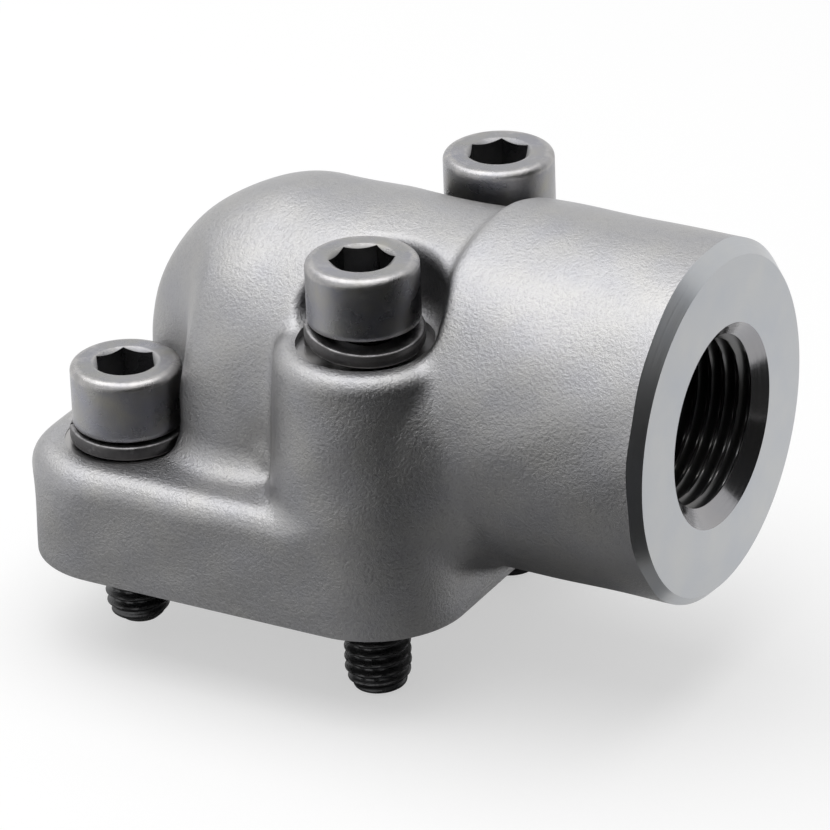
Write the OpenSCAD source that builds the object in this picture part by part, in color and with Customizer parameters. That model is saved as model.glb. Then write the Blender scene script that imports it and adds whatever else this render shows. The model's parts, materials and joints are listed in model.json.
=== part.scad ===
// Angle port flange for a small gear pump: a cast 90 degree elbow with a square
// four-bolt foot, a face seal in the foot, a threaded outlet, two short and two
// long socket-head cap screws and a spring washer under each head.
// Millimetres, +Z up. The origin is the centre of the bolt square on the mounting
// face, the outlet points along +X and the screws reach below the face.

/* [Foot] */
// Diameter of the circle through the four screw axes
bolt_circle_d = 35; // [33:0.5:40]
// Radius of each upright corner of the foot, about its screw axis
corner_r = 8.8; // [7.6:0.1:10]
// Height of the low shelf above the mounting face
shelf_h = 10.5; // [9:0.5:13]
// Rounding of the shelf's upper edge
shelf_edge_r = 2.2; // [1:0.1:3]

/* [Screw seats] */
// Height of the tall bosses' seats above the mounting face
tall_seat_h = 24.3; // [23:0.1:27]
// Depth of the tall seats below the bosses' rims
tall_seat_depth = 0.6; // [0.1:0.1:1]
// Diameter of the spot face cut into each tall boss
tall_spot_d = 12.2; // [11.6:0.1:12.8]
// Diameter of the pocket cast round each tall screw's head
tall_pocket_d = 14.2; // [13:0.1:15]
// Rounding of the tall bosses' rims
boss_edge_r = 1.4; // [0.6:0.1:1.8]
// Depth of the low seats below the shelf
low_seat_depth = 0.1; // [0.1:0.1:2]
// Diameter of the pocket cut round each low seat
low_pocket_d = 11.4; // [11.2:0.1:13]

/* [Elbow] */
// Height of the cast outlet's axis above the mounting face
axis_h = 17.3; // [17:0.1:19]
// How far the machined outlet's axis lies below the cast one
port_drop = 0.3; // [0:0.1:0.5]
// Outer radius of the dome, the column under it and the neck
dome_r = 14.8; // [14:0.1:15.5]
// Casting fillet at the foot of the column
foot_fillet_r = 2.6; // [1:0.1:3.5]
// Casting fillet between the column and each tall boss
boss_fillet_r = 3; // [1.5:0.1:5]
// Radius of the oil passage
passage_r = 7; // [5:0.1:7.2]

/* [Outlet tube] */
// Distance from the bolt square's centre to the machined end face
outlet_reach = 40.6; // [36:0.2:60]
// Outer radius of the outlet tube
tube_r = 16.2; // [15.8:0.1:17]
// Distance from the bolt square's centre to the tube's rear shoulder
shoulder_x = 18.8; // [18:0.1:22]
// Rounding of the tube's rear shoulder
shoulder_r = 1; // [0.4:0.1:1.2]
// Casting fillet between the neck and the shoulder
neck_fillet_r = 1; // [0.4:0.1:1.2]
// Radial width of the turned chamfer on the end face
end_chamfer_w = 1; // [0.5:0.1:1.5]
// Axial length of the turned chamfer on the end face
end_chamfer_l = 1; // [0.6:0.1:2]
// Minor radius of the outlet thread
port_thread_r = 7.475; // [7.3:0.025:8.2]
// Threaded depth, measured from the end face
port_thread_depth = 14; // [10:0.5:15]
// Radius of the countersink at the outlet's mouth
port_mouth_r = 9.2; // [8.6:0.1:10]
// Depth of that countersink
port_mouth_depth = 1.4; // [0.5:0.1:2]

/* [Cap screws] */
// Thread diameter of the cap screws
screw_d = 6; // [5:0.1:6.2]
// Head diameter of the cap screws
head_d = 10; // [9:0.1:10.4]
// Head height of the cap screws
head_h = 5.8; // [4:0.1:7]
// Rounding of the head's upper edge
head_edge_r = 0.6; // [0.2:0.1:1]
// Width across the flats of the hexagon socket
socket_af = 5; // [3.5:0.1:5.2]
// Depth of the hexagon socket
socket_depth = 3; // [1.5:0.1:3.2]
// Length of the long screws below the head
long_screw_l = 36; // [33:0.5:45]
// Length of the short screws below the head
short_screw_l = 19.5; // [16:0.5:30]
// Diameter of the screws' shank inside the flange, above the threaded end
shank_d = 5.6; // [5.3:0.1:5.6]
// Clearance between a screw's thread and its hole, on the radius
screw_clearance = 0.3; // [0.2:0.05:0.5]

/* [Spring washers] */
// Outer diameter of the spring washers
washer_od = 10.6; // [9.8:0.1:11]
// Thickness of the spring washers
washer_t = 1.3; // [1:0.1:1.6]
// Clearance between a washer's bore and its screw, on the radius
washer_clearance = 0.1; // [0.05:0.05:0.3]
// Rise of a long screw's washer from its lower to its upper end
long_washer_rise = 1.4; // [0.8:0.1:1.6]
// Rise of a short screw's washer from its lower to its upper end
short_washer_rise = 0.35; // [0.2:0.05:0.6]
// Width of the split, as an angle
washer_split = 12; // [6:1:20]
// Direction in which the splits point
washer_turn = 210; // [0:5:355]

/* [Face seal] */
// Inside diameter of the seal ring
seal_id = 20; // [18:0.5:21]
// Cord diameter of the seal ring
seal_cord = 2.5; // [1.8:0.1:2.6]
// Depth of the seal's groove
groove_depth = 1.95; // [1.2:0.05:2.2]
// Extra width of the groove over the cord, on each side
groove_play = 0.35; // [0.1:0.05:0.4]

/* [Hidden] */
$fn = 96;

// Half the side of the bolt square, and of the foot around it
bolt_half = bolt_circle_d / (2 * sqrt(2));
foot_half = bolt_half + corner_r;
// Radius of the end face inside its chamfer
end_face_r = tube_r - end_chamfer_w;
// Height of the machined outlet's axis
port_h = axis_h - port_drop;
// Heights of the low seats and of the tall bosses' rims
low_seat_h = shelf_h - low_seat_depth;
boss_h = tall_seat_h + tall_seat_depth;
screw_r = screw_d / 2;
// Least step from a screw's thread up to its shank, on the radius
thread_step = 0.2;
shank_r = min(shank_d / 2, screw_r - thread_step);
head_r = head_d / 2;
hole_r = screw_r + screw_clearance;
washer_bore_r = screw_r + washer_clearance;
// Undersides of the heads, each on its free washer
tall_head_z = tall_seat_h + washer_t + long_washer_rise;
low_head_z = low_seat_h + washer_t + short_washer_rise;
// The free washer leans by this share of its rise
washer_lean_share = 0.5;
washer_steps = 44;
// Height up to which the pockets are cut, clear above the tube
cut_top = axis_h + tube_r + 2;
// Mean radius and centre height of the seal ring, just off the groove's floor
seal_mean_r = (seal_id + seal_cord) / 2;
seal_floor_gap = 0.02;
seal_z = groove_depth - seal_cord / 2 - seal_floor_gap;
// Directions in which the hexagon sockets stand, front and back
long_hex_turns = [33, 53];
short_hex_turns = [5, 20];
// Taper of a screw's rolled tip: length, and radius at its flat end
tip_taper_l = 2.3;
tip_end_r = screw_r - 1;
tip_edge = 0.35;
// Mouth of the hexagon socket, and the drill point at its floor
socket_corner_r = socket_af / 2 / cos(30);
socket_lead = 0.3;
socket_drill_l = 0.8;
// The cone in which a boss's fillet fades: how far below the outlet axis it
// starts, how far outside the column, and how far inside the column it ends
web_fade_l = 3;
web_fade_out = 2.2;
web_fade_in = 1;
// How far a cutter runs past the face that it opens
over = 1;
// How far joined solids run into each other
lap = 0.5;
cast_grey = [0.62, 0.62, 0.63];
screw_grey = [0.30, 0.30, 0.32];
washer_grey = [0.22, 0.22, 0.24];
seal_black = [0.05, 0.05, 0.05];

// Lays a piece made about the Z axis along the outlet's axis, cast or machined
module on_outlet_axis(height = axis_h) {
    translate([0, 0, height]) rotate([0, 90, 0]) children();
}

// Upright section from x = low_x to the wall at half_w, with its upper edge rounded
module wall_section(low_x, half_w, height, edge_r) {
    polygon([
        [low_x, 0], [half_w, 0], [half_w, height - edge_r],
        [half_w - edge_r, height - edge_r], [half_w - edge_r, height],
        [low_x, height]
    ]);
    translate([half_w - edge_r, height - edge_r]) circle(edge_r);
}

// Round post about a screw axis
module corner_post(x, y, height, edge_r) {
    translate([x, y, 0]) rotate_extrude() wall_section(0, corner_r, height, edge_r);
}

// One side of the foot, swept along X between the corner posts
module foot_side() {
    translate([-bolt_half, 0, 0]) rotate([90, 0, 90]) linear_extrude(2 * bolt_half)
        wall_section(-lap, foot_half, shelf_h, shelf_edge_r);
}

module foot() {
    for (turn = [0 : 90 : 270]) rotate([0, 0, turn]) foot_side();
    for (y = [-bolt_half, bolt_half]) {
        corner_post(-bolt_half, y, shelf_h, shelf_edge_r);
        corner_post(bolt_half, y, boss_h, boss_edge_r);
    }
}

// Column, dome and neck, with the fillets at the column's foot and at the shoulder
module elbow_shell() {
    cylinder(r = dome_r, h = axis_h);
    translate([0, 0, axis_h]) sphere(dome_r);
    on_outlet_axis() cylinder(r = dome_r, h = shoulder_x + lap);
    rotate_extrude() difference() {
        translate([dome_r - lap, shelf_h - lap])
            square(foot_fillet_r + lap);
        translate([dome_r + foot_fillet_r, shelf_h + foot_fillet_r])
            circle(foot_fillet_r);
    }
    on_outlet_axis() rotate_extrude() difference() {
        translate([dome_r - lap, shoulder_x - neck_fillet_r])
            square([neck_fillet_r / 2 + lap, neck_fillet_r + lap]);
        translate([dome_r + neck_fillet_r, shoulder_x - neck_fillet_r])
            circle(neck_fillet_r);
    }
}

// Fills the hollow between the column and a tall boss with a round of
// boss_fillet_r that touches both, and fades out where the neck falls back
module boss_web(side) {
    gap = norm([bolt_half, bolt_half]);
    to_column = dome_r + boss_fillet_r;
    to_boss = corner_r + boss_fillet_r;
    along = (gap * gap + to_column * to_column - to_boss * to_boss) / (2 * gap);
    across = sqrt(to_column * to_column - along * along);
    web_top = boss_h - boss_edge_r;
    fade_r = dome_r + web_fade_out;
    intersection() {
        mirror([0, side > 0 ? 0 : 1, 0]) rotate([0, 0, 45])
            linear_extrude(web_top) difference() {
                polygon([[0, 0], [gap, 0], [along, across]]);
                translate([along, across]) circle(boss_fillet_r);
            }
        rotate_extrude() polygon([
            [0, 0], [fade_r, 0], [fade_r, axis_h - web_fade_l],
            [dome_r - web_fade_in, web_top], [0, web_top]
        ]);
    }
}

module outlet_tube() {
    on_outlet_axis() rotate_extrude() {
        polygon([
            [0, shoulder_x], [tube_r - shoulder_r, shoulder_x],
            [tube_r - shoulder_r, shoulder_x + shoulder_r],
            [tube_r, shoulder_x + shoulder_r],
            [tube_r, outlet_reach], [0, outlet_reach]
        ]);
        translate([tube_r - shoulder_r, shoulder_x + shoulder_r])
            circle(shoulder_r);
    }
}

// Vertical pocket for a screw head, from its seat to above the casting
module seat_pocket(x, y, seat_h, diameter) {
    translate([x, y, seat_h]) cylinder(d = diameter, h = cut_top - seat_h);
}

module seat_cuts() {
    for (y = [-bolt_half, bolt_half]) {
        seat_pocket(-bolt_half, y, low_seat_h, low_pocket_d);
        seat_pocket(bolt_half, y, tall_seat_h, tall_spot_d);
        seat_pocket(bolt_half, y, boss_h, tall_pocket_d);
        for (x = [-bolt_half, bolt_half])
            translate([x, y, -over]) cylinder(r = hole_r, h = tall_seat_h + 2 * over);
    }
}

// Chamfer turned about the machined axis, so it is wider at the top of the tube
module end_chamfer() {
    slope = end_chamfer_l / end_chamfer_w;
    on_outlet_axis(port_h) rotate_extrude() polygon([
        [end_face_r - over, outlet_reach + slope * over],
        [tube_r + over, outlet_reach - slope * (end_chamfer_w + over)],
        [tube_r + over, outlet_reach + slope * over]
    ]);
}

// Oil way from the mounting face, round the bend and out along the thread
module oil_way() {
    translate([0, 0, -over]) cylinder(r = passage_r, h = port_h + over);
    translate([0, 0, port_h]) sphere(passage_r);
    on_outlet_axis(port_h) {
        cylinder(r = passage_r, h = outlet_reach);
        translate([0, 0, outlet_reach - port_thread_depth])
            cylinder(r = port_thread_r, h = port_thread_depth + over);
        translate([0, 0, outlet_reach - port_mouth_depth])
            cylinder(r1 = port_thread_r, r2 = port_mouth_r, h = port_mouth_depth);
        translate([0, 0, outlet_reach]) cylinder(r = port_mouth_r, h = over);
    }
}

module seal_groove() {
    groove_half = seal_cord / 2 + groove_play;
    translate([0, 0, -over]) difference() {
        cylinder(r = seal_mean_r + groove_half, h = groove_depth + over);
        cylinder(r = seal_mean_r - groove_half, h = groove_depth + over);
    }
}

module elbow_body() {
    color(cast_grey) difference() {
        union() {
            foot();
            elbow_shell();
            boss_web(-1);
            boss_web(1);
            outlet_tube();
        }
        seat_cuts();
        end_chamfer();
        oil_way();
        seal_groove();
    }
}

module face_seal_ring() {
    color(seal_black) translate([0, 0, seal_z]) rotate_extrude()
        translate([seal_mean_r, 0]) circle(d = seal_cord);
}

// Socket-head cap screw with the underside of its head at z = 0, and its thread
// ending thread_top below, level with the mounting face
module cap_screw(length, thread_top, hex_turn) {
    taper_top = tip_taper_l - length;
    color(screw_grey) difference() {
        rotate_extrude() {
            polygon([
                [0, -length], [tip_end_r - tip_edge, -length],
                [tip_end_r, tip_edge - length],
                [(tip_end_r + screw_r) / 2 + tip_edge / 2, taper_top - tip_taper_l / 2],
                [screw_r, taper_top], [screw_r, thread_top],
                [shank_r, thread_top], [shank_r, 0],
                [head_r, 0], [head_r, head_h - head_edge_r],
                [head_r - head_edge_r, head_h - head_edge_r],
                [head_r - head_edge_r, head_h], [0, head_h]
            ]);
            translate([head_r - head_edge_r, head_h - head_edge_r])
                circle(head_edge_r);
        }
        rotate([0, 0, hex_turn]) translate([0, 0, head_h - socket_depth])
            cylinder(r = socket_corner_r, h = socket_depth + over, $fn = 6);
        translate([0, 0, head_h - socket_lead])
            cylinder(r1 = socket_af / 2, r2 = socket_corner_r + socket_lead / 2,
                     h = socket_lead);
        translate([0, 0, head_h - socket_depth - socket_drill_l])
            cylinder(r1 = 0, r2 = socket_af / 2, h = socket_drill_l);
    }
}

// Height of the washer's lower face at a share t of the way from its upper end
function washer_z(t, rise) =
    rise * (1 - t) - rise * washer_lean_share * sin(360 * t);

// Split ring that climbs and leans, standing on z = 0 at its lower end
module spring_washer(rise) {
    sweep = 360 - washer_split;
    points = [
        for (i = [0 : washer_steps])
            let (
                t = i / washer_steps,
                turn = washer_turn + washer_split / 2 + sweep * t,
                z = washer_z(t, rise)
            )
            for (corner = [
                [washer_bore_r, 0], [washer_od / 2, 0],
                [washer_od / 2, washer_t], [washer_bore_r, washer_t]
            ])
                [corner[0] * cos(turn), corner[0] * sin(turn), z + corner[1]]
    ];
    walls = [
        for (i = [0 : washer_steps - 1], j = [0 : 3])
            let (k = (j + 1) % 4)
            [4 * i + j, 4 * i + k, 4 * i + 4 + k, 4 * i + 4 + j]
    ];
    last = 4 * washer_steps;
    ends = [[3, 2, 1, 0], [last, last + 1, last + 2, last + 3]];
    color(washer_grey) polyhedron(points, concat(walls, ends), convexity = 4);
}

module cap_screw_long_front() {
    translate([bolt_half, -bolt_half, tall_head_z])
        cap_screw(long_screw_l, -tall_head_z, long_hex_turns[0]);
}
module cap_screw_long_back() {
    translate([bolt_half, bolt_half, tall_head_z])
        cap_screw(long_screw_l, -tall_head_z, long_hex_turns[1]);
}
module cap_screw_short_front() {
    translate([-bolt_half, -bolt_half, low_head_z])
        cap_screw(short_screw_l, -low_head_z, short_hex_turns[0]);
}
module cap_screw_short_back() {
    translate([-bolt_half, bolt_half, low_head_z])
        cap_screw(short_screw_l, -low_head_z, short_hex_turns[1]);
}
module spring_washer_long_front() {
    translate([bolt_half, -bolt_half, tall_seat_h]) spring_washer(long_washer_rise);
}
module spring_washer_long_back() {
    translate([bolt_half, bolt_half, tall_seat_h]) spring_washer(long_washer_rise);
}
module spring_washer_short_front() {
    translate([-bolt_half, -bolt_half, low_seat_h]) spring_washer(short_washer_rise);
}
module spring_washer_short_back() {
    translate([-bolt_half, bolt_half, low_seat_h]) spring_washer(short_washer_rise);
}

elbow_body();
face_seal_ring();
cap_screw_long_front();
cap_screw_long_back();
cap_screw_short_front();
cap_screw_short_back();
spring_washer_long_front();
spring_washer_long_back();
spring_washer_short_front();
spring_washer_short_back();
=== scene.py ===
# Angle port flange: the visible casting, cap screws, spring washers, port thread
# and seal ring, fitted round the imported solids. Lengths are in millimetres until a
# mesh is made of them, the stage is in metres, and an angle is in degrees where its
# name ends in deg.
import json
import math

import bmesh
import bpy
import numpy as np
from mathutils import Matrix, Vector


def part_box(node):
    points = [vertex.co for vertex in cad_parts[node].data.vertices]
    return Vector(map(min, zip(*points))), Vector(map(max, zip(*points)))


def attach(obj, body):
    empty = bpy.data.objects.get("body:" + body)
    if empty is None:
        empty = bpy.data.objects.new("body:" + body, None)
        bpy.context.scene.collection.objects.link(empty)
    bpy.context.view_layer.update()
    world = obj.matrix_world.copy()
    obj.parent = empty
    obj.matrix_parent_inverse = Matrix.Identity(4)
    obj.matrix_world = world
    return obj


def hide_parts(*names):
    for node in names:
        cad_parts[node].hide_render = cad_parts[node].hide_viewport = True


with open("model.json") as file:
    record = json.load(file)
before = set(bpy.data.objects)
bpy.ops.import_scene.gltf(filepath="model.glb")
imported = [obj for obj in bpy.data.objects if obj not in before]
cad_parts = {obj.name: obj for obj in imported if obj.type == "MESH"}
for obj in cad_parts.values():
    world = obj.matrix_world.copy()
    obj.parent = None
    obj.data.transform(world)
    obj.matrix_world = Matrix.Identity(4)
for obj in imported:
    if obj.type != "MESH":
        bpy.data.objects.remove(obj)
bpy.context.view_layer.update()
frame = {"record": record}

import openvdb
from mathutils import Matrix, Vector

MM = 0.001


def span(node):
    """Lowest and highest corner of a CAD node, in millimetres."""
    low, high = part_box(node)
    return np.array(low) / MM, np.array(high) / MM


def mount(name):
    """The record's mount of that name."""
    return next(m for m in frame["record"]["mounts"] if m["name"] == name)


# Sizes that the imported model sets
BODY_LOW, BODY_HIGH = span("elbow_body")
PORT_H = mount("outlet_port")["pos_m"][2] / MM
THREAD_MINOR_R = mount("outlet_port")["dims"]["r_mm"]
THREAD_L = mount("outlet_port")["dims"]["length_mm"]
BOLT_HALF = mount("stud_pattern")["dims"]["spacing_x_mm"] / 2
SCREW_R = mount("stud_pattern")["dims"]["stud_r_mm"]
OUTLET_REACH = BODY_HIGH[0]
FOOT_HALF = -BODY_LOW[0]
CORNER_R = FOOT_HALF - BOLT_HALF
TALL_SEAT = span("spring_washer_long_front")[0][2]
LOW_SEAT = span("spring_washer_short_front")[0][2]
SEAL_LOW, SEAL_HIGH = span("face_seal_ring")

# Radius at which a turned form closes on its axis, and how far a tool runs past what it cuts
CLOSED_R = 0.02
OVER = 2.0
# The foot and its bosses
SHELF_H = 10.5
SHELF_EDGE_R = 2.2
BOSS_TOP = TALL_SEAT + 0.6
BOSS_EDGE_R = 1.4
BOSS_DRAFT = 0.8
BOSS_ROOT_R = 1.0
# The elbow and its tube, and where along x the neck swells from the dome's radius to its own
TUBE_R = 16.2
AXIS_H = BODY_HIGH[2] - TUBE_R
DOME_R = 14.8
NECK_R = 14.95
SHOULDER_X = 18.7
SHOULDER_R = 0.9
NECK_SWELL_X = (0, 6)
# Casting fillets: column to shelf, column to boss, neck to tube, boss to tube, foot to tube,
# and the heights or places between which one gives way to the next
SHELF_FILLET_R = 2.6
BOSS_FILLET_R = 1.0
NECK_FILLET_R = 1.0
TUBE_FILLET_R = 3.0
FOOT_FILLET_R = 0.8
SHELF_FILLET_END_Z = (12.5, 16)
SHELF_FILLET_END_X = (2.5, 4.2)
TUBE_FILLET_END_Z = (18, 24)
FOOT_FILLET_END_Z = (1.5, 6)
# Cast pockets for the screw heads, and the heights between which their edges turn round
TALL_POCKET_R = 7.1
TALL_POCKET_ROOT_R = 1.6
LOW_POCKET_R = 5.65
LOW_POCKET_ROOT_R = 0.5
TALL_POCKET_EDGE_R = 0.9
LOW_POCKET_EDGE_R = 0.5
LOW_POCKET_MOUTH_R = 2.4
TALL_POCKET_EDGE_Z = (25, 27)
LOW_POCKET_EDGE_Z = (12, 14)
LOW_POCKET_MOUTH_Z = (15, 20)
# Depth of the slow waves of a cast wall, and the height over which they start from the face
WAVE_DEPTH = 0.035
WAVE_START_Z = (0, 3)
# How near a wall of a tall pocket and how high above its seat shade is painted into the casting's
# colour
POCKET_SHADE_REACH = (0.1, 0.8)
POCKET_SHADE_Z = (1.6, 2.8)
# Spot faces, chamfered end face, and the countersunk mouth with the cone below it
TALL_SPOT_R = 6.1
LOW_SPOT_R = 5.8
SPOT_H = 1.3
END_CHAMFER_W = 1.0
END_CHAMFER_L = 1.0
MOUTH_R = 9.2
MOUTH_L = 1.4
MOUTH_FLOOR_L = 0.2
# Thread in the outlet: where its turns start, how steep its flanks, how flat its roots and
# how round its ridges are, and how far from its inner end it starts and is at full depth
PORT_PITCH = 1.337
PORT_MAJOR_R = 8.33
PORT_START = 0.24
PORT_STEEPNESS = 1.2
PORT_FLAT = 0.1
PORT_ROUNDED = 0.35
PORT_PLAIN_L = 0.3
PORT_FADE_L = 2.5 * PORT_PITCH
# Oil way, screw holes with the lead at the mounting face, and the seal's groove
PASSAGE_R = 7.0
HOLE_R = SCREW_R + 0.3
HOLE_LEAD = 0.35
GROOVE_PLAY = 0.35
GROOVE_FLOOR_PLAY = 0.02
# Segments of the turned forms: wide ones, and holes
WIDE_SEGMENTS = 192
HOLE_SEGMENTS = 64
# Heads and sockets of the screws
HEAD_R = 5.0
HEAD_H = 5.8
HEAD_EDGE_R = 0.65
HEAD_FLAT_IN = 0.25
HEAD_FILLET_R = 0.35
HEAD_FILLET_MID = 0.1
SOCKET_AF = 5.0
SOCKET_L = 3.0
SOCKET_CONE_L = 0.8
SOCKET_MOUTH_R = 2.95
SOCKET_MOUTH_SLOPE = 0.6
# Lower edge of a screw's head: inset from its side, height, and how far it is rubbed
HEAD_LOWER_EDGE = ((0.55, 0.0, 0.2), (0.12, 0.1, 0.6), (0.0, 0.32, 0.3), (0.0, 0.6, 0.0))
# Rolled threads of the screws: how steep, flat, round and rubbed they are, the step down to
# the shank, and the length over which the thread runs out there
SCREW_PITCH = 1.0
SCREW_STEEPNESS = 1.35
SCREW_FLAT = 0.2
SCREW_ROUNDED = 0.3
CREST_RUBBED = 0.35
SHANK_STEP = 0.1
THREAD_DEPTH = 0.58
THREAD_RUNOUT_L = 1.5
# Tips of the screws: the taper, the bevelled and dished end, and the share of its depth
# that the thread has there
TIP_TAPER_L = 2.3
TIP_TAPER_BEFORE = -1.3
TIP_END_R = 2.0
TIP_DISH_IN = 0.45
TIP_BEVEL = 0.5
TIP_BEVEL_Z = (-0.1, 0.5)
TIP_THREAD_SHARE = 0.3
# How dark a socket is painted for the shade inside it, and the heights between which the shank,
# darkened by oil and painted shade, meets the clean head
SOCKET_SHADE = 0.75
SHANK_OIL_AND_SHADE_Z = (-1.5, -0.5)
# Angles past which an edge is shaded sharp
CASTING_SHARP_DEG = 28
TURNED_SHARP_DEG = 40
# Cap screws: node, length of thread and turn of the socket in degrees
SCREWS = (("cap_screw_long_front", 24, 33), ("cap_screw_long_back", 24, 53),
          ("cap_screw_short_front", 17.5, 5), ("cap_screw_short_back", 17.5, 20))
# Spring washers: their split and where it points, how far they lean as they climb, and the
# steps in which they are swept
WASHER_T = 1.3
WASHER_EDGE_R = 0.22
WASHER_BORE_R = SCREW_R + 0.1
WASHER_SPLIT_DEG = 12.0
WASHER_TURN_DEG = 210.0
WASHER_LEAN = 0.5
WASHER_STEPS = 72
# Seal ring
SEAL_FLASH = 0.03

# Size of a cell of the field that the casting's skin is drawn from, the room round it and
# the distance past which the field is level
CELL = 0.27
FIELD_MARGIN = 2.0
FIELD_BAND = 3.0
SOFTENING_PASSES = 2


def node_tree(owner):
    """An emptied node tree of a material or world, and its output node."""
    owner.use_nodes = True
    tree = owner.node_tree
    tree.nodes.clear()
    kind = "World" if isinstance(owner, bpy.types.World) else "Material"
    return tree, tree.nodes.new("ShaderNodeOutput" + kind)


def feed(tree, socket, value):
    """Links an output to a socket, or sets the socket to a plain value."""
    if isinstance(value, bpy.types.NodeSocket):
        tree.links.new(value, socket)
    else:
        socket.default_value = value


def add(tree, kind, settings=None, **inputs):
    """A new node with settings on the node and values or links on its inputs, where an
    underscore stands for a space in an input's name."""
    node = tree.nodes.new(kind)
    for key, value in (settings or {}).items():
        setattr(node, key, value)
    for key, value in inputs.items():
        feed(tree, node.inputs[key.replace("_", " ")], value)
    return node


def smoothstep(value, low, high):
    """0 below low, 1 above high and a smooth rise between them."""
    share = np.clip((value - low) / (high - low), 0, 1)
    return share * share * (3 - 2 * share)


# The camera, at the photograph's angle
CAMERA_AZ_DEG = 29.99
CAMERA_EL_DEG = 26.33
CAMERA_ROLL_DEG = -2.148
CAMERA_DISTANCE = 572.89
CAMERA_AIM = (9.931, 0, 11.620)
CAMERA_LENS = 278.9


def place_camera():
    """A long lens that looks down over the short screw towards the outlet."""
    az, el, roll = (math.radians(a) for a in (CAMERA_AZ_DEG, CAMERA_EL_DEG, CAMERA_ROLL_DEG))
    back = Vector((math.sin(az) * math.cos(el), -math.cos(az) * math.cos(el), math.sin(el)))
    level_right = Vector((math.cos(az), math.sin(az), 0))
    level_up = back.cross(level_right)
    right = math.cos(roll) * level_right + math.sin(roll) * level_up
    up = -math.sin(roll) * level_right + math.cos(roll) * level_up
    lens = bpy.data.cameras.new("photo_camera")
    lens.lens = CAMERA_LENS
    lens.clip_start = 0.01
    camera = bpy.data.objects.new("photo_camera", lens)
    camera.matrix_world = Matrix((right, up, back)).transposed().to_4x4()
    camera.matrix_world.translation = (Vector(CAMERA_AIM) + CAMERA_DISTANCE * back) * MM
    bpy.context.scene.collection.objects.link(camera)
    bpy.context.scene.camera = camera


place_camera()


# Materials, and the shared effects that they are made of


def node_group(name, inputs, outputs):
    """A shader group with named inputs (label, kind, value) and outputs (label, kind)."""
    tree = bpy.data.node_groups.new(name, "ShaderNodeTree")
    for label, kind, value in inputs:
        tree.interface.new_socket(label, in_out="INPUT", socket_type=kind).default_value = value
    for label, kind in outputs:
        tree.interface.new_socket(label, in_out="OUTPUT", socket_type=kind)
    return tree, tree.nodes.new("NodeGroupInput").outputs, tree.nodes.new("NodeGroupOutput").inputs


def arithmetic(tree, operation, first, second=0.0, third=0.0):
    """The result of a Math node."""
    node = tree.nodes.new("ShaderNodeMath")
    node.operation = operation
    for socket, value in zip(node.inputs, (first, second, third)):
        feed(tree, socket, value)
    return node.outputs[0]


def noise(tree, scale, detail, roughness):
    """A noise in the object's own coordinates, as a value round a half."""
    place = add(tree, "ShaderNodeTexCoord").outputs["Object"]
    node = add(tree, "ShaderNodeTexNoise", Vector=place, Scale=scale, Detail=detail,
               Roughness=roughness)
    return node.outputs["Fac"]


def spread(tree, value, low, high, to_low=0.0, to_high=1.0):
    """A value read between two limits and clamped to two others."""
    node = add(tree, "ShaderNodeMapRange", Value=value, From_Min=low, From_Max=high,
               To_Min=to_low, To_Max=to_high)
    return node.outputs["Result"]


def blended(tree, share, first, second):
    """Two colours mixed by a share."""
    node = add(tree, "ShaderNodeMix", {"data_type": "RGBA"}, Factor=share)
    for socket, colour in zip((node.inputs[6], node.inputs[7]), (first, second)):
        linked = isinstance(colour, bpy.types.NodeSocket)
        feed(tree, socket, colour if linked else (*colour, 1.0))
    return node.outputs[2]


def blast_grain_group():
    """The pitted grain that shot-blasting leaves on a casting."""
    tree, given, made = node_group(
        "Blast grain",
        [("Grain Size", "NodeSocketFloat", 1.0), ("Patch Size", "NodeSocketFloat", 1.0)],
        [("Height", "NodeSocketFloat"), ("Pits", "NodeSocketFloat"),
         ("Patches", "NodeSocketFloat")])
    fine_scale = arithmetic(tree, "DIVIDE", 3600.0, given["Grain Size"])
    broad_scale = arithmetic(tree, "DIVIDE", 2300.0, given["Grain Size"])
    patch_scale = arithmetic(tree, "DIVIDE", 210.0, given["Patch Size"])
    fine = noise(tree, fine_scale, 4.0, 0.7)
    broad = noise(tree, broad_scale, 2.0, 0.55)
    patches = noise(tree, patch_scale, 3.0, 0.55)
    waves = arithmetic(tree, "MULTIPLY", broad, 0.3)
    tree.links.new(arithmetic(tree, "MULTIPLY_ADD", fine, 0.8, waves), made["Height"])
    tree.links.new(spread(tree, fine, 0.36, 0.5, 1.0, 0.0), made["Pits"])
    tree.links.new(spread(tree, patches, 0.3, 0.7), made["Patches"])
    return tree


def turning_marks_group():
    """Fine rings that a turning or facing tool leaves about an axis."""
    tree, given, made = node_group(
        "Turning marks",
        [("Across", "NodeSocketVector", (0, 0, 0)), ("Pitch", "NodeSocketFloat", 0.1)],
        [("Height", "NodeSocketFloat"), ("Sheen", "NodeSocketFloat")])
    axes = add(tree, "ShaderNodeSeparateXYZ", Vector=given["Across"]).outputs
    flat = arithmetic(tree, "MULTIPLY", axes["X"], axes["X"])
    reach = arithmetic(tree, "SQRT", arithmetic(tree, "MULTIPLY_ADD", axes["Y"], axes["Y"], flat))
    rings = arithmetic(tree, "DIVIDE", reach, arithmetic(tree, "MULTIPLY", given["Pitch"], MM))
    ring = add(tree, "ShaderNodeTexNoise", {"noise_dimensions": "1D"}, W=rings, Scale=1.0,
               Detail=2.0).outputs["Fac"]
    tree.links.new(ring, made["Height"])
    tree.links.new(spread(tree, ring, 0.35, 0.65), made["Sheen"])
    return tree


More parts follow.
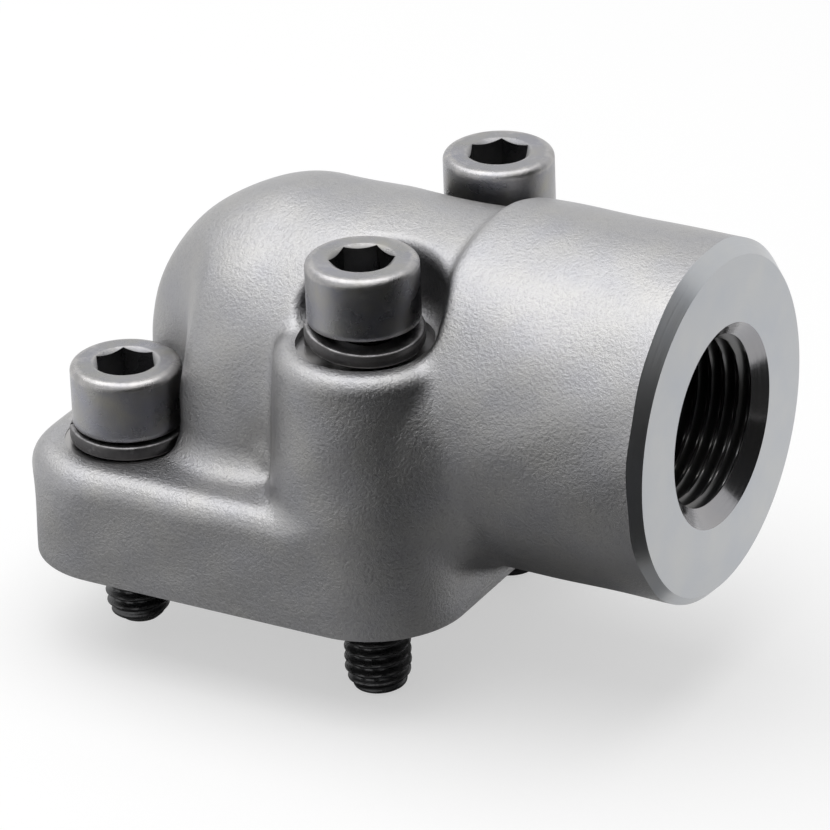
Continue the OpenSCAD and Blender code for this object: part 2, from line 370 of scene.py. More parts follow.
def handling_wear_group():
    """Where a dark coating is rubbed thin along edges, broken up by scratches."""
    tree, given, made = node_group(
        "Handling wear",
        [("Edge", "NodeSocketFloat", 0.0), ("Reach", "NodeSocketFloat", 0.5),
         ("Size", "NodeSocketFloat", 1.0)],
        [("Rubbed", "NodeSocketFloat"), ("Stain", "NodeSocketFloat")])
    broken = noise(tree, arithmetic(tree, "DIVIDE", 700.0, given["Size"]), 4.0, 0.65)
    stain = noise(tree, arithmetic(tree, "DIVIDE", 260.0, given["Size"]), 3.0, 0.6)
    edge = arithmetic(tree, "MULTIPLY", given["Edge"], given["Reach"])
    rubbed = arithmetic(tree, "MULTIPLY_ADD", spread(tree, broken, 0.3, 0.7), 0.8, edge)
    tree.links.new(spread(tree, rubbed, 0.62, 1.15), made["Rubbed"])
    tree.links.new(spread(tree, stain, 0.35, 0.68), made["Stain"])
    return tree


BLAST_GRAIN = blast_grain_group()
TURNING_MARKS = turning_marks_group()
HANDLING_WEAR = handling_wear_group()


def finish(name, **plain):
    """A material with a Principled shader whose plain numbers are set on its own sockets."""
    owner = bpy.data.materials.new(name)
    tree, out = node_tree(owner)
    shader = add(tree, "ShaderNodeBsdfPrincipled", **plain)
    tree.links.new(shader.outputs["BSDF"], out.inputs["Surface"])
    return owner, tree, shader.inputs


def bump(tree, height, depth):
    """A bump of that depth, in millimetres, from a height."""
    node = add(tree, "ShaderNodeBump", Height=height, Distance=depth * MM, Strength=1.0)
    return node.outputs["Normal"]


def place_effect(tree, effect, **inputs):
    """One of the shared effects, placed in a material."""
    return add(tree, "ShaderNodeGroup", {"node_tree": effect}, **inputs).outputs


def kept_share(tree, name):
    """A share from 0 to 1 that was kept on the mesh, such as how near an edge is."""
    return add(tree, "ShaderNodeAttribute", {"attribute_name": name}).outputs["Fac"]


def cast_skin():
    """Aluminium as cast and shot-blasted: satin grey, granular, faintly mottled, with shade painted
    darker into its tall head pockets.
    """
    owner, tree, shader = finish("cast skin", Metallic=1.0)
    grain = place_effect(tree, BLAST_GRAIN, Grain_Size=1.0, Patch_Size=1.0)
    ground = blended(tree, grain["Patches"], (0.345, 0.345, 0.36), (0.39, 0.385, 0.38))
    pits = arithmetic(tree, "MULTIPLY", grain["Pits"], 0.45)
    pitted = blended(tree, pits, ground, (0.25, 0.25, 0.26))
    # Painted shade: a darker colour on the walls of the tall head pockets, where shade falls
    shaded = blended(tree, kept_share(tree, "recess"), pitted, (0.15, 0.15, 0.155))
    tree.links.new(shaded, shader["Base Color"])
    tree.links.new(spread(tree, grain["Height"], 0.4, 0.75, 0.3, 0.42), shader["Roughness"])
    tree.links.new(bump(tree, grain["Height"], 0.105), shader["Normal"])
    return owner


def machined(name, colour, pitch, shift=(0, 0, 0), turned=(0, 0, 0), mirrored=False,
             roughness=0.3, depth=0.02):
    """Bare cut aluminium with the marks of a tool that turned about an axis."""
    owner, tree, shader = finish(name, Metallic=1.0)
    place = add(tree, "ShaderNodeTexCoord").outputs["Object"]
    if mirrored:
        folded = add(tree, "ShaderNodeVectorMath", {"operation": "ABSOLUTE"}, Vector=place)
        place = folded.outputs[0]
    across = add(tree, "ShaderNodeMapping", {"vector_type": "POINT"}, Vector=place,
                 Location=[s * MM for s in shift], Rotation=turned).outputs["Vector"]
    marks = place_effect(tree, TURNING_MARKS, Across=across, Pitch=pitch)
    grain = place_effect(tree, BLAST_GRAIN, Grain_Size=0.7, Patch_Size=1.4)
    warmer = [c * k for c, k in zip(colour, (1.12, 1.09, 1.03))]
    tree.links.new(blended(tree, grain["Patches"], colour, warmer), shader["Base Color"])
    sheen = spread(tree, marks["Sheen"], 0.0, 1.0, roughness - 0.02, roughness + 0.03)
    tree.links.new(sheen, shader["Roughness"])
    tree.links.new(bump(tree, marks["Height"], depth), shader["Normal"])
    return owner


def black_oxide():
    """Blackened steel of the cap screws, rubbed on its edges, with brown and blue tints, darkened
    by oil and painted shade on its shank and by painted shade in its socket.
    """
    owner, tree, shader = finish("black oxide", Metallic=1.0)
    wear = place_effect(tree, HANDLING_WEAR, Edge=kept_share(tree, "edge"), Reach=0.55, Size=1.0)
    grain = place_effect(tree, BLAST_GRAIN, Grain_Size=0.5, Patch_Size=0.6)
    ground = blended(tree, wear["Stain"], (0.285, 0.285, 0.28), (0.345, 0.333, 0.3))
    blued = arithmetic(tree, "MULTIPLY", grain["Patches"], 0.7)
    tinted = blended(tree, blued, ground, (0.25, 0.256, 0.315))
    rubbed = blended(tree, wear["Rubbed"], tinted, (0.41, 0.4, 0.395))
    # Oil and painted shade: the shank and thread are darker, and the socket is darker for the shade
    # inside it
    oiled = blended(tree, kept_share(tree, "oiled"), rubbed, (0.08, 0.08, 0.082))
    tree.links.new(oiled, shader["Base Color"])
    tree.links.new(spread(tree, wear["Stain"], 0.0, 1.0, 0.24, 0.36), shader["Roughness"])
    tree.links.new(bump(tree, grain["Height"], 0.03), shader["Normal"])
    return owner


def phosphated():
    """Black phosphated spring steel of the washers, lighter on its upper outer edges, where it is
    rubbed and where a highlight is painted.
    """
    owner, tree, shader = finish("phosphated spring steel", Metallic=1.0)
    wear = place_effect(tree, HANDLING_WEAR, Edge=kept_share(tree, "edge"), Reach=0.6, Size=0.8)
    grain = place_effect(tree, BLAST_GRAIN, Grain_Size=0.4, Patch_Size=0.5)
    ground = blended(tree, wear["Stain"], (0.1, 0.098, 0.1), (0.15, 0.145, 0.145))
    rubbed = blended(tree, wear["Rubbed"], ground, (0.28, 0.275, 0.28))
    tree.links.new(rubbed, shader["Base Color"])
    tree.links.new(spread(tree, grain["Height"], 0.45, 0.85, 0.34, 0.5), shader["Roughness"])
    tree.links.new(bump(tree, grain["Height"], 0.03), shader["Normal"])
    return owner


def nitrile():
    """Matt black nitrile rubber with a faint bloom."""
    owner, tree, shader = finish("nitrile rubber", Metallic=0.0)
    grain = place_effect(tree, BLAST_GRAIN, Grain_Size=0.3, Patch_Size=0.8)
    bloom = blended(tree, grain["Patches"], (0.018, 0.018, 0.019), (0.034, 0.034, 0.036))
    tree.links.new(bloom, shader["Base Color"])
    tree.links.new(spread(tree, grain["Height"], 0.45, 0.85, 0.5, 0.66), shader["Roughness"])
    tree.links.new(bump(tree, grain["Height"], 0.015), shader["Normal"])
    return owner


# Where the marks of the tools that cut the port and the four spot faces are centred
ABOUT_PORT = {"shift": (-PORT_H, 0, 0), "turned": (0, math.radians(90), 0)}
ABOUT_SCREWS = {"shift": (-BOLT_HALF, -BOLT_HALF, 0), "mirrored": True}

CAST_SKIN = cast_skin()
END_FACE = machined("turned end face", (0.445, 0.462, 0.49), 0.12, depth=0.004, **ABOUT_PORT)
FOOT_FACE = machined("milled mounting face", (0.50, 0.505, 0.515), 0.2)
SPOT_FACE = machined("spot face", (0.36, 0.36, 0.37), 0.1, depth=0.008, **ABOUT_SCREWS)
# Painted shade: the tapped thread and the bored oil way are coloured dark for the shade inside the
# bore
SHADED_THREAD_CUT = machined("tapped thread", (0.13, 0.13, 0.133), 0.15, depth=0.001, **ABOUT_PORT)
MOUTH_CONE = machined("countersunk mouth", (0.29, 0.29, 0.305), 0.2, roughness=0.17,
                      depth=0.006, **ABOUT_PORT)
SHADED_BORE = machined("bored oil way", (0.05, 0.05, 0.051), 0.3, roughness=0.4, **ABOUT_PORT)
BLACK_OXIDE = black_oxide()
PHOSPHATED = phosphated()
NITRILE = nitrile()


# Meshes


def mesh_object(name, points, faces, material):
    """A linked, smooth-shaded object from points in millimetres, its faces turned outwards."""
    mesh = bpy.data.meshes.new(name)
    mesh.from_pydata([tuple(p) for p in np.asarray(points) * MM], [], faces)
    form = bmesh.new()
    form.from_mesh(mesh)
    bmesh.ops.recalc_face_normals(form, faces=form.faces)
    for face in form.faces:
        face.smooth = True
    form.to_mesh(mesh)
    form.free()
    mesh.materials.append(material)
    owner = bpy.data.objects.new(name, mesh)
    bpy.context.scene.collection.objects.link(owner)
    return owner


def skin(rings, looped=False):
    """Points and faces of rings of equal length, one after another: closed at both
    ends by a face, or joined end to end where looped."""
    count, size = len(rings), len(rings[0])
    points = np.concatenate(rings)
    faces = []
    for i in range(count if looped else count - 1):
        here, there = i * size, (i + 1) % count * size
        faces += [(here + j, here + (j + 1) % size, there + (j + 1) % size, there + j)
                  for j in range(size)]
    if not looped:
        faces += [tuple(range(size))[::-1], tuple(range((count - 1) * size, count * size))]
    return points, faces


def joined(parts):
    """Several point and face lists as one."""
    points, faces, start = [], [], 0
    for some_points, some_faces in parts:
        points.append(some_points)
        faces += [tuple(start + i for i in face) for face in some_faces]
        start += len(some_points)
    return np.concatenate(points), faces


def lathe(profile, centre, axis="z", count=128, looped=False):
    """A form turned about an axis through centre: profile holds (along, radius)."""
    turn = np.arange(count) * 2 * math.pi / count
    rings = []
    for along, radius in profile:
        one, two = radius * np.cos(turn), radius * np.sin(turn)
        level = np.full(count, float(along))
        ring = (one, two, level) if axis == "z" else (level, one, two)
        rings.append(np.stack(ring, axis=1) + np.array(centre, float))
    return skin(rings, looped)


def keep_share(mesh, name, shares):
    """Keeps a share from 0 to 1 on each point of a mesh, for its material."""
    kept = mesh.attributes.new(name, "FLOAT", "POINT")
    kept.data.foreach_set("value", np.asarray(shares, np.float32))


# The casting


def round_union(a, b, r):
    """Two signed distances joined with a fillet of radius r."""
    return np.maximum(r, np.minimum(a, b)) - np.hypot(np.maximum(r - a, 0), np.maximum(r - b, 0))


def round_edge(a, b, r):
    """The part inside both distances, with its edge rounded to radius r."""
    return np.minimum(-r, np.maximum(a, b)) + np.hypot(np.maximum(r + a, 0), np.maximum(r + b, 0))


def round_cut(a, b, r):
    """The part inside a and outside b, with its edge rounded to radius r."""
    return round_edge(a, -b, r)


def foot_field(x, y, z):
    """Square foot with its two tall, drafted bosses, as a signed distance."""
    over_x, over_y = np.abs(x) - BOLT_HALF, np.abs(y) - BOLT_HALF
    outline = (np.hypot(np.maximum(over_x, 0), np.maximum(over_y, 0))
               + np.minimum(np.maximum(over_x, over_y), 0) - CORNER_R)
    foot = round_edge(outline, z - SHELF_H, SHELF_EDGE_R)
    draft = BOSS_DRAFT * np.clip((z - SHELF_H) / (BOSS_TOP - SHELF_H), 0, 1)
    post = np.hypot(x - BOLT_HALF, over_y) - CORNER_R + draft
    boss = round_edge(post, z - BOSS_TOP, BOSS_EDGE_R)
    rooted = np.maximum(round_union(foot, boss, BOSS_ROOT_R), outline)
    return np.minimum(np.minimum(foot, boss), rooted)


def elbow_field(x, y, z):
    """Column, dome and neck."""
    height = z - AXIS_H
    column = np.maximum(np.hypot(x, y) - DOME_R, height)
    dome = np.sqrt(x * x + y * y + height * height) - DOME_R
    swell = (NECK_R - DOME_R) * smoothstep(x, *NECK_SWELL_X)
    neck = np.maximum(np.hypot(y, height) - DOME_R - swell, -x)
    neck = np.maximum(neck, x - SHOULDER_X - SHOULDER_R)
    return np.minimum(np.minimum(column, dome), neck)


def casting_field(x, y, z):
    """The whole casting before machining."""
    by_shelf = 1 - smoothstep(z, *SHELF_FILLET_END_Z)
    behind_boss = 1 - smoothstep(x, *SHELF_FILLET_END_X)
    inner_fillet = BOSS_FILLET_R + (SHELF_FILLET_R - BOSS_FILLET_R) * by_shelf * behind_boss
    body = round_union(elbow_field(x, y, z), foot_field(x, y, z), inner_fillet)
    tube = round_edge(np.hypot(y, z - AXIS_H) - TUBE_R, SHOULDER_X - x, SHOULDER_R)
    by_boss = 1 - smoothstep(z, *TUBE_FILLET_END_Z)
    tube_fillet = NECK_FILLET_R + (TUBE_FILLET_R - NECK_FILLET_R) * by_boss
    off_foot = smoothstep(z, *FOOT_FILLET_END_Z)
    tube_fillet = FOOT_FILLET_R + (tube_fillet - FOOT_FILLET_R) * off_foot
    body = round_union(body, tube, tube_fillet)
    off_y = np.abs(y) - BOLT_HALF
    tall = round_edge(np.hypot(x - BOLT_HALF, off_y) - TALL_POCKET_R, BOSS_TOP - z,
                      TALL_POCKET_ROOT_R)
    body = round_cut(body, tall, TALL_POCKET_EDGE_R * smoothstep(z, *TALL_POCKET_EDGE_Z))
    low = round_edge(np.hypot(x + BOLT_HALF, off_y) - LOW_POCKET_R, SHELF_H - z,
                     LOW_POCKET_ROOT_R)
    by_mouth = smoothstep(z, *LOW_POCKET_MOUTH_Z)
    low_edge_r = LOW_POCKET_EDGE_R + (LOW_POCKET_MOUTH_R - LOW_POCKET_EDGE_R) * by_mouth
    return round_cut(body, low, low_edge_r * smoothstep(z, *LOW_POCKET_EDGE_Z))


def unevenness(x, y, z):
    """Three crossing waves that make a cast wall uneven, fading out at the machined face."""
    waves = (np.sin(0.43 * x + 0.29 * y + 0.51 * z + 1.0)
             + np.sin(0.71 * y - 0.37 * z + 0.19 * x)
             + np.sin(0.83 * z - 0.57 * x + 0.23 * y + 2.0))
    return WAVE_DEPTH * waves * smoothstep(z, *WAVE_START_Z)


def soften(field, passes):
    """The field blurred by a cell or so, to take the knife edges off."""
    for _ in range(passes):
        for axis in range(3):
            padded = np.pad(field, [(1, 1) if i == axis else (0, 0) for i in range(3)], "edge")
            count = field.shape[axis]
            before, here, after = (np.take(padded, range(i, i + count), axis) for i in range(3))
            field = (before + 2 * here + after) / 4
    return field


def casting_skin():
    """Mesh of the casting before machining, drawn from its field."""
    low = BODY_LOW - FIELD_MARGIN
    counts = np.ceil((BODY_HIGH + FIELD_MARGIN - low) / CELL).astype(int) + 1
    x, y, z = (low[i] + CELL * np.arange(counts[i], dtype=np.float32) for i in range(3))
    x, y, z = x[:, None, None], y[None, :, None], z[None, None, :]
    field = casting_field(x, y, z) + unevenness(x, y, z)
    field = np.clip(field, -FIELD_BAND, FIELD_BAND).astype(np.float32)
    field = soften(field, SOFTENING_PASSES)
    grid = openvdb.FloatGrid(background=FIELD_BAND)
    grid.copyFromArray(np.ascontiguousarray(field, dtype=np.float32))
    grid.transform = openvdb.createLinearTransform(voxelSize=CELL)
    points, tris, quads = grid.convertToPolygons(0.0, 0.0)
    faces = [tuple(map(int, f)) for f in tris] + [tuple(map(int, f)) for f in quads]
    return np.asarray(points) + low, faces


def block(low, high):
    """Points and faces of a block between two corners."""
    ring = [(low[0], low[1]), (high[0], low[1]), (high[0], high[1]), (low[0], high[1])]
    return skin([np.array([(u, v, level) for u, v in ring], float) for level in (low[2], high[2])])


def thread_ridge(along, pitch, turn, start=0.0):
    """A thread's plain triangle, from 0 in its root to 1 on its crest."""
    phase = np.mod(along / pitch - turn / (2 * math.pi) + start, 1.0)
    return 1 - np.abs(2 * phase - 1)


def port_thread():
    """The tap's own form: a parallel pipe thread that runs out of the mouth."""
    count = 240
    step = PORT_PITCH / 16
    start, end = OUTLET_REACH - MOUTH_L - THREAD_L, OUTLET_REACH + OVER
    turn = np.arange(count) * 2 * math.pi / count
    rings = []
    for x in np.arange(start, end + step, step):
        ridge = thread_ridge(x, PORT_PITCH, turn, PORT_START)
        flanks = np.clip(ridge * PORT_STEEPNESS - PORT_FLAT, 0, 1)
        cut = smoothstep(ridge, 0.02, 0.98) * PORT_ROUNDED + flanks * (1 - PORT_ROUNDED)
        fade = smoothstep(x, start + PORT_PLAIN_L, start + PORT_FADE_L)
        radius = THREAD_MINOR_R + (PORT_MAJOR_R - THREAD_MINOR_R) * cut * fade
        across, up = radius * np.cos(turn), PORT_H + radius * np.sin(turn)
        rings.append(np.stack([np.full(count, x), across, up], axis=1))
    return skin(rings)


def corners(x_sign=(-1, 1)):
    """Places of the screw axes."""
    return [(i * BOLT_HALF, j * BOLT_HALF) for i in x_sign for j in (-1, 1)]


def ball_end(radius, from_along, centre_along):
    """Profile of a round-ended bore: from_along to a half ball about centre_along."""
    away = 1 if centre_along > from_along else -1
    ball = [(centre_along + away * radius * math.sin(bend), radius * math.cos(bend))
            for bend in np.linspace(0, math.pi / 2, 16)[:-1]]
    return [(from_along, radius)] + ball + [(centre_along + away * radius, CLOSED_R)]


def machining_cuts():
    """Every machined form as (name, points and faces, material of the cut faces)."""
    outer = TUBE_R + OVER
    slope = END_CHAMFER_L / END_CHAMFER_W
    end_r = TUBE_R - END_CHAMFER_W
    clear = OUTLET_REACH + 2 * OVER
    turned = [(OUTLET_REACH, CLOSED_R), (OUTLET_REACH, end_r),
              (OUTLET_REACH - slope * (outer - end_r), outer), (clear, outer), (clear, CLOSED_R)]
    flare = (MOUTH_R - THREAD_MINOR_R) / MOUTH_L
    cone = [(OUTLET_REACH - MOUTH_L - MOUTH_FLOOR_L, CLOSED_R),
            (OUTLET_REACH - MOUTH_L, THREAD_MINOR_R),
            (OUTLET_REACH + OVER, MOUTH_R + flare * OVER), (clear, CLOSED_R)]
    seal_x = (SEAL_HIGH[0] + SEAL_LOW[0]) / 2
    cord = SEAL_HIGH[2] - SEAL_LOW[2]
    ring_r = SEAL_HIGH[0] - cord / 2
    half = cord / 2 + GROOVE_PLAY
    depth = SEAL_HIGH[2] + GROOVE_FLOOR_PLAY
    groove = [(-OVER, ring_r - half), (-OVER, ring_r + half),
              (depth, ring_r + half), (depth, ring_r - half)]
    hole = [(-OVER, HOLE_R + HOLE_LEAD + OVER), (HOLE_LEAD, HOLE_R), (BOSS_TOP + OVER, HOLE_R)]
    spots = []
    for x, y in corners():
        seat, radius = (TALL_SEAT, TALL_SPOT_R) if x > 0 else (LOW_SEAT, LOW_SPOT_R)
        spots.append(lathe([(seat, radius), (seat + SPOT_H, radius)], (x, y, 0)))
    wide = FOOT_HALF + 2 * OVER
    slab = block((-wide, -wide, -3 * OVER), (OUTLET_REACH + 3 * OVER, wide, 0))
    bore_out = ball_end(PASSAGE_R, OUTLET_REACH - OVER, 0.0)
    return [
        ("foot_slab", slab, FOOT_FACE),
        ("end_turning", lathe(turned, (0, 0, PORT_H), "x", WIDE_SEGMENTS), END_FACE),
        ("oil_way_up", lathe(ball_end(PASSAGE_R, -OVER, PORT_H), (0, 0, 0)), SHADED_BORE),
        ("oil_way_out", lathe(bore_out, (0, 0, PORT_H), "x"), SHADED_BORE),
        ("port_tap", port_thread(), SHADED_THREAD_CUT),
        ("mouth_countersink", lathe(cone, (0, 0, PORT_H), "x", WIDE_SEGMENTS), MOUTH_CONE),
        ("drilled", joined([lathe(hole, (x, y, 0), count=HOLE_SEGMENTS) for x, y in corners()]
                           + [lathe(groove, (seal_x, 0, 0), looped=True)]), FOOT_FACE),
        ("spot_facing", joined(spots), SPOT_FACE),
    ]


def keep_painted_pocket_shade(mesh):
    """Keeps on each point how deep it lies in a tall head pocket, as the share of shade that is
    painted into the casting's colour there.
    """
    places = np.empty(3 * len(mesh.vertices), np.float32)
    mesh.vertices.foreach_get("co", places)
    x, y, z = places.reshape(-1, 3).T / MM
    share = np.zeros_like(x)
    for centre_x, centre_y in corners((1,)):
        away = np.hypot(x - centre_x, y - centre_y) - TALL_POCKET_R
        inside = (1 - smoothstep(away, *POCKET_SHADE_REACH)) * smoothstep(z - TALL_SEAT, *POCKET_SHADE_Z)
        share = np.maximum(share, inside)
    keep_share(mesh, "recess", share)


def machined_casting():
    """The finished casting: skin smoothed, then cut by each machined form."""
    rough = mesh_object("rough_casting", *casting_skin(), CAST_SKIN)
    smoothing = rough.modifiers.new("smoothing", "SMOOTH")
    smoothing.factor = 0.5
    smoothing.iterations = 2
    tools = []
    for name, (points, faces), material in machining_cuts():
        tool = mesh_object(name, points, faces, material)
        cut = rough.modifiers.new(name, "BOOLEAN")
        cut.operation = "DIFFERENCE"
        cut.solver = "MANIFOLD"
        cut.material_mode = "TRANSFER"
        cut.object = tool
        tools.append(tool)
    ready = rough.evaluated_get(bpy.context.evaluated_depsgraph_get())
    mesh = bpy.data.meshes.new_from_object(ready)
    mesh.name = "cast_elbow"
    for owner in [rough] + tools:
        bpy.data.objects.remove(owner)
    mesh.set_sharp_from_angle(angle=math.radians(CASTING_SHARP_DEG))
    # Painted shade for the tall head pockets, kept on the mesh for the cast skin
    keep_painted_pocket_shade(mesh)
    casting = bpy.data.objects.new("cast_elbow", mesh)
    bpy.context.scene.collection.objects.link(casting)
    return casting


# Screws, washers and the seal ring


def fitted(piece, node, body):
    """A piece that stands for a CAD node, which it hides, and rides on its body."""
    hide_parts(node)
    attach(piece, body)


def thread_rows(length, thread_l, turn):
    """Rows of a screw's rolled thread upwards from its tip, as (radius, height, rubbed)."""
    rows = []
    per_pitch = 12
    tip = -length
    for z in np.linspace(tip, tip + thread_l, int(thread_l * per_pitch / SCREW_PITCH) + 1):
        up = z - tip
        taper = 1 - smoothstep(up, TIP_TAPER_BEFORE, TIP_TAPER_L)
        envelope = SCREW_R - (SCREW_R - TIP_END_R) * taper
        envelope -= TIP_BEVEL * (1 - smoothstep(up, *TIP_BEVEL_Z))
        ridge = thread_ridge(z, SCREW_PITCH, turn)
        crest = np.clip(ridge * SCREW_STEEPNESS - SCREW_FLAT, 0, 1)
        crest = crest * (1 - SCREW_ROUNDED) + smoothstep(crest, 0, 1) * SCREW_ROUNDED
        grown = TIP_THREAD_SHARE + (1 - TIP_THREAD_SHARE) * smoothstep(up, 0.0, TIP_TAPER_L)
        runout = smoothstep(up, thread_l - THREAD_RUNOUT_L, thread_l)
        depth = THREAD_DEPTH * grown * (1 - runout)
        sink = SHANK_STEP * runout
        rows.append((envelope - sink - depth * (1 - crest), z, CREST_RUBBED * crest))
    return rows


def head_rows(hexagon):
    """Rows of a cap screw from its shank to the socket's floor, as (radius, height, rubbed)."""
    shank = SCREW_R - SHANK_STEP
    rows = [(shank, -HEAD_FILLET_R, 0.0), (shank + HEAD_FILLET_MID, -HEAD_FILLET_MID, 0.0),
            (shank + HEAD_FILLET_R, 0.0, 0.0)]
    rows += [(HEAD_R - inset, height, rubbed) for inset, height, rubbed in HEAD_LOWER_EDGE]
    rows.append((HEAD_R, HEAD_H - HEAD_EDGE_R - HEAD_FLAT_IN, 0.15))
    rows += [(HEAD_R - HEAD_EDGE_R * (1 - math.cos(bend)),
              HEAD_H - HEAD_EDGE_R * (1 - math.sin(bend)), 1.0)
             for bend in np.linspace(0, math.pi / 2, 8)]
    return rows + [(HEAD_R - HEAD_EDGE_R - HEAD_FLAT_IN, HEAD_H, 0.35),
                   (SOCKET_MOUTH_R + HEAD_FLAT_IN, HEAD_H, 0.15), (SOCKET_MOUTH_R, HEAD_H, 0.7),
                   (hexagon, HEAD_H - (SOCKET_MOUTH_R - hexagon) * SOCKET_MOUTH_SLOPE, 0.5),
                   (hexagon, HEAD_H - SOCKET_L, 0.0),
                   (CLOSED_R, HEAD_H - SOCKET_L - SOCKET_CONE_L, 0.0)]


def cap_screw(node, thread_l, hex_turn_deg):
    """Socket-head cap screw with a rolled thread, in place of its CAD node."""
    low, high = span(node)
    centre = (low + high) / 2
    under_head = high[2] - HEAD_H
    count = 120
    turn = math.radians(hex_turn_deg) + np.arange(count) * 2 * math.pi / count
    from_flat = np.mod(np.arange(count) * 360 / count + 1e-6, 60) - 30
    hexagon = SOCKET_AF / 2 / np.cos(np.radians(from_flat))
    length = under_head - low[2]
    dished = [(CLOSED_R, -length, 0.0), (TIP_END_R - TIP_DISH_IN, -length, 0.0)]
    rings, edges, oiled = [], [], []
    for radius, height, rubbed in dished + thread_rows(length, thread_l, turn) + head_rows(hexagon):
        level = height * np.ones_like(turn)
        rings.append(np.stack([centre[0] + radius * np.cos(turn),
                               centre[1] + radius * np.sin(turn), under_head + level], axis=1))
        edges.append(rubbed * np.ones_like(turn))
        # Painted shade in the socket; oil with painted shade on the shank below the head
        socket = SOCKET_SHADE * ((level > 0) & (radius < SOCKET_MOUTH_R - 0.01))
        oiled.append(np.maximum(1 - smoothstep(level, *SHANK_OIL_AND_SHADE_Z), socket))
    name = node.replace("cap_screw", "screw") + "_turned"
    screw = mesh_object(name, *skin(rings), BLACK_OXIDE)
    keep_share(screw.data, "edge", np.concatenate(edges))
    keep_share(screw.data, "oiled", np.concatenate(oiled))
    screw.data.set_sharp_from_angle(angle=math.radians(TURNED_SHARP_DEG))
    fitted(screw, node, node.replace("cap_screw", "screw"))


def washer_section(outer):
    """Points (across, up) round the section of a washer's wire, with rounded edges."""
    radius, steps = WASHER_EDGE_R, 4
    left, right, top = WASHER_BORE_R + radius, outer - radius, WASHER_T - radius
    points = []
    for across, up, start_deg in ((right, radius, -90), (right, top, 0), (left, top, 90),
                                  (left, radius, 180)):
        for k in range(steps + 1):
            a = math.radians(start_deg + 90 * k / steps)
            points.append((across + radius * math.cos(a), up + radius * math.sin(a)))
    return np.array(points)


def spring_washer(node):
    """Split spring washer that climbs and leans, in place of its CAD node."""
    low, high = span(node)
    x, y = (low[:2] + high[:2]) / 2
    rise = high[2] - low[2] - WASHER_T
    outer = (high[1] - low[1]) / 2
    section = washer_section(outer)
    across, up = section[:, 0], section[:, 1]
    # Upper outer edge of the wire, painted lighter: partly rubbed, partly a painted highlight from
    # the light above
    worn_and_lit_rim = (up > WASHER_T - 0.6 * WASHER_EDGE_R) & (across > (WASHER_BORE_R + outer) / 2)
    rings, edges = [], []
    for t in np.linspace(0, 1, WASHER_STEPS + 1):
        turn = math.radians(WASHER_TURN_DEG + WASHER_SPLIT_DEG / 2 + (360 - WASHER_SPLIT_DEG) * t)
        level = low[2] + rise * (1 - t) - rise * WASHER_LEAN * math.sin(2 * math.pi * t)
        rings.append(np.stack([x + across * math.cos(turn), y + across * math.sin(turn),
                               level + up], axis=1))
        edges.append(np.where(worn_and_lit_rim, 0.9, 0.1))
    name = node.replace("spring_washer", "split_washer")
    washer = mesh_object(name, *skin(rings), PHOSPHATED)
    keep_share(washer.data, "edge", np.concatenate(edges))
    washer.data.set_sharp_from_angle(angle=math.radians(TURNED_SHARP_DEG))
    fitted(washer, node, node.replace("spring_washer", "washer"))


def seal_ring():
    """Moulded seal ring with the fine flash line of its mould."""
    cord = SEAL_HIGH[2] - SEAL_LOW[2]
    ring_r = SEAL_HIGH[0] - cord / 2
    level = (SEAL_HIGH[2] + SEAL_LOW[2]) / 2
    section, count = [], 32
    for k in range(count):
        a = 2 * math.pi * k / count
        flash = SEAL_FLASH if k in (0, count // 2) else 0.0
        section.append((level + cord / 2 * math.sin(a), ring_r + (cord / 2 + flash) * math.cos(a)))
    ring = mesh_object("moulded_seal_ring", *lathe(section, (0, 0, 0), looped=True), NITRILE)
    fitted(ring, "face_seal_ring", "flange")


casting = machined_casting()
fitted(casting, "elbow_body", "flange")
for node, thread_l, hex_turn_deg in SCREWS:
    cap_screw(node, thread_l, hex_turn_deg)
    spring_washer(node.replace("cap_screw", "spring_washer"))
seal_ring()


# Floor, surroundings and light, in metres but for the floor's drop below the screws' ends

FLOOR_DROP = 0.05
FLOOR_HALF = 0.8
FLOOR_GLOW = 0.52
WORLD_GLOW = 1.0
WORLD_LIGHT = 0.4
BLACK_LEVEL = 0.02
GREY_LEVEL = 0.4
LAMP_PLACE = (-0.12, -0.03, 0.5)
LAMP_SIZE = (0.75, 0.6)
LAMP_POWER = 2.45


def screened_strength(tree, seen, unseen):
    """One strength for rays from the camera, a mirror or glass, and another for the rest."""
    path = add(tree, "ShaderNodeLightPath").outputs
    direct = arithmetic(tree, "MAXIMUM", path["Is Camera Ray"], path["Is Glossy Ray"])
    direct = arithmetic(tree, "MAXIMUM", direct, path["Is Transmission Ray"])
    return spread(tree, direct, 0.0, 1.0, unseen, seen)


def floor_paper():
    """White paper that keeps the shadow and meets the white background."""
    owner = bpy.data.materials.new("white paper floor")
    tree, out = node_tree(owner)
    shader = add(tree, "ShaderNodeBsdfPrincipled", Roughness=0.9, Specular_IOR_Level=0.0)
    shader.inputs["Base Color"].default_value = (0.5, 0.5, 0.5, 1.0)
    shader.inputs["Emission Color"].default_value = (1.0, 1.0, 1.0, 1.0)
    tree.links.new(screened_strength(tree, FLOOR_GLOW, 0.0), shader.inputs["Emission Strength"])
    tree.links.new(shader.outputs["BSDF"], out.inputs["Surface"])
    return owner


def matt_board(name, level):
    """Matt painted board of an even grey."""
    owner = bpy.data.materials.new(name)
    tree, out = node_tree(owner)
    shader = add(tree, "ShaderNodeBsdfPrincipled", Roughness=0.9)
    shader.inputs["Base Color"].default_value = (level, level, level, 1.0)
    tree.links.new(shader.outputs["BSDF"], out.inputs["Surface"])
    return owner


def sheet(name, corner_points, material, faces=None):
    """A sheet of the stage through its corners, in metres: flat, or folded where it has faces."""
    mesh = bpy.data.meshes.new(name)
    mesh.from_pydata(corner_points, [], faces or [tuple(range(len(corner_points)))])
    mesh.materials.append(material)
    owner = bpy.data.objects.new(name, mesh)
    bpy.context.scene.collection.objects.link(owner)
    return owner


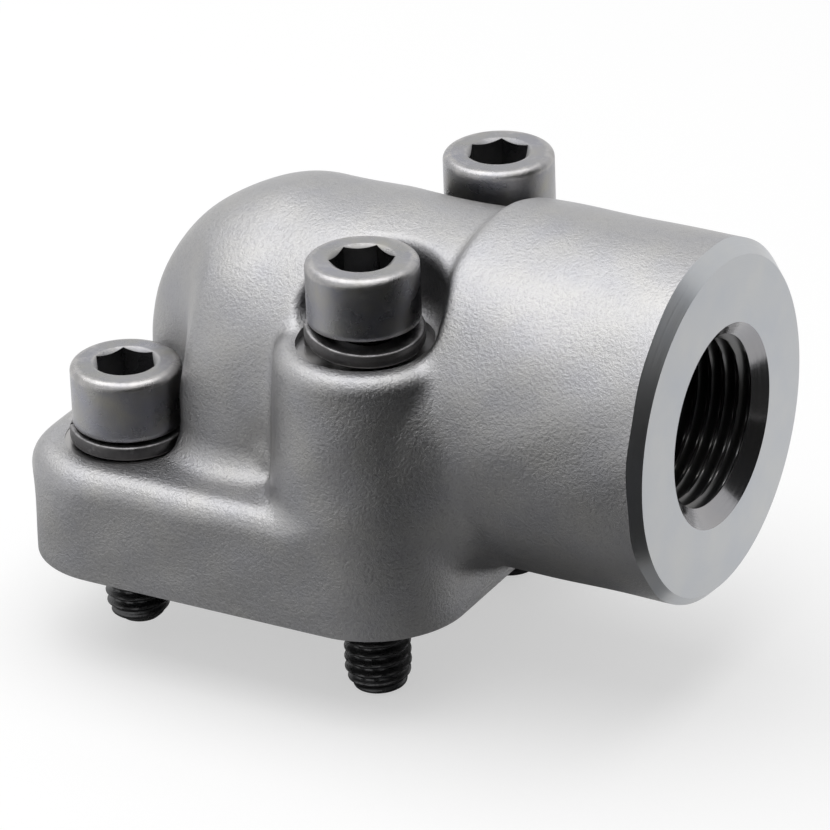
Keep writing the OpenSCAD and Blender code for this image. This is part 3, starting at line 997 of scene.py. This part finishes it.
# Outlines of the dark board that lies at the front right and of the grey card under the
# part, and the upper edge of the dark board that stands folded at the right
LOW_BOARD = [(-0.12, -0.183), (0.03, -0.043), (0.10, 0.045), (0.105, 0.08), (0.3, 0.08),
             (0.3, -0.4), (-0.12, -0.4)]
UNDER_CARD = [(-0.045, -0.25), (0.055, -0.25), (0.055, -0.004), (0.03, -0.004), (0.03, 0.03),
              (-0.045, 0.03)]
HIGH_BOARD = [(0.06, -0.34, 0.07), (0.33, -0.1, 0.24), (0.33, 0.2, 0.34)]


def stage():
    """White floor under the screws' ends, and dark boards out of the camera's sight."""
    lowest = min(span(node)[0][2] for node, _, _ in SCREWS)
    floor_h, board_h = (lowest - FLOOR_DROP) * MM, (lowest - FLOOR_DROP / 2) * MM
    card_h = (floor_h + board_h) / 2
    near, far = -FLOOR_HALF, FLOOR_HALF
    paper = [(x, y, floor_h) for x, y in ((near, near), (far, near), (far, far), (near, far))]
    sheet("paper_floor", paper, floor_paper())
    black, grey = matt_board("black board", BLACK_LEVEL), matt_board("grey card", GREY_LEVEL)
    low_board = sheet("board_on_floor", [(x, y, board_h) for x, y in LOW_BOARD], black)
    under_card = sheet("card_under_part", [(x, y, card_h) for x, y in UNDER_CARD], grey)
    count = len(HIGH_BOARD)
    lower_edge = [(x, y, board_h) for x, y, _ in HIGH_BOARD]
    folds = [(i, i + 1, count + i + 1, count + i) for i in range(count - 1)]
    high_board = sheet("board_front_right", lower_edge + HIGH_BOARD, black, folds)
    for board in (low_board, under_card, high_board):
        board.visible_camera = False
        board.visible_shadow = False
        board.visible_diffuse = False


def lamp(name, place, size, power):
    """A soft rectangular lamp that shines straight down."""
    light = bpy.data.lights.new(name, "AREA")
    light.shape = "RECTANGLE"
    light.size, light.size_y = size
    light.energy = power
    owner = bpy.data.objects.new(name, light)
    owner.location = place
    bpy.context.scene.collection.objects.link(owner)


def surroundings():
    """White world that the camera and the metal see, and a calmer one that lights."""
    world = bpy.data.worlds.new("white studio")
    bpy.context.scene.world = world
    tree, out = node_tree(world)
    background = add(tree, "ShaderNodeBackground")
    background.inputs["Color"].default_value = (1.0, 1.0, 1.0, 1.0)
    strength = screened_strength(tree, WORLD_GLOW, WORLD_LIGHT)
    tree.links.new(strength, background.inputs["Strength"])
    tree.links.new(background.outputs["Background"], out.inputs["Surface"])


stage()
surroundings()
lamp("overhead_softbox", LAMP_PLACE, LAMP_SIZE, LAMP_POWER)
bpy.context.scene.view_settings.view_transform = "Standard"
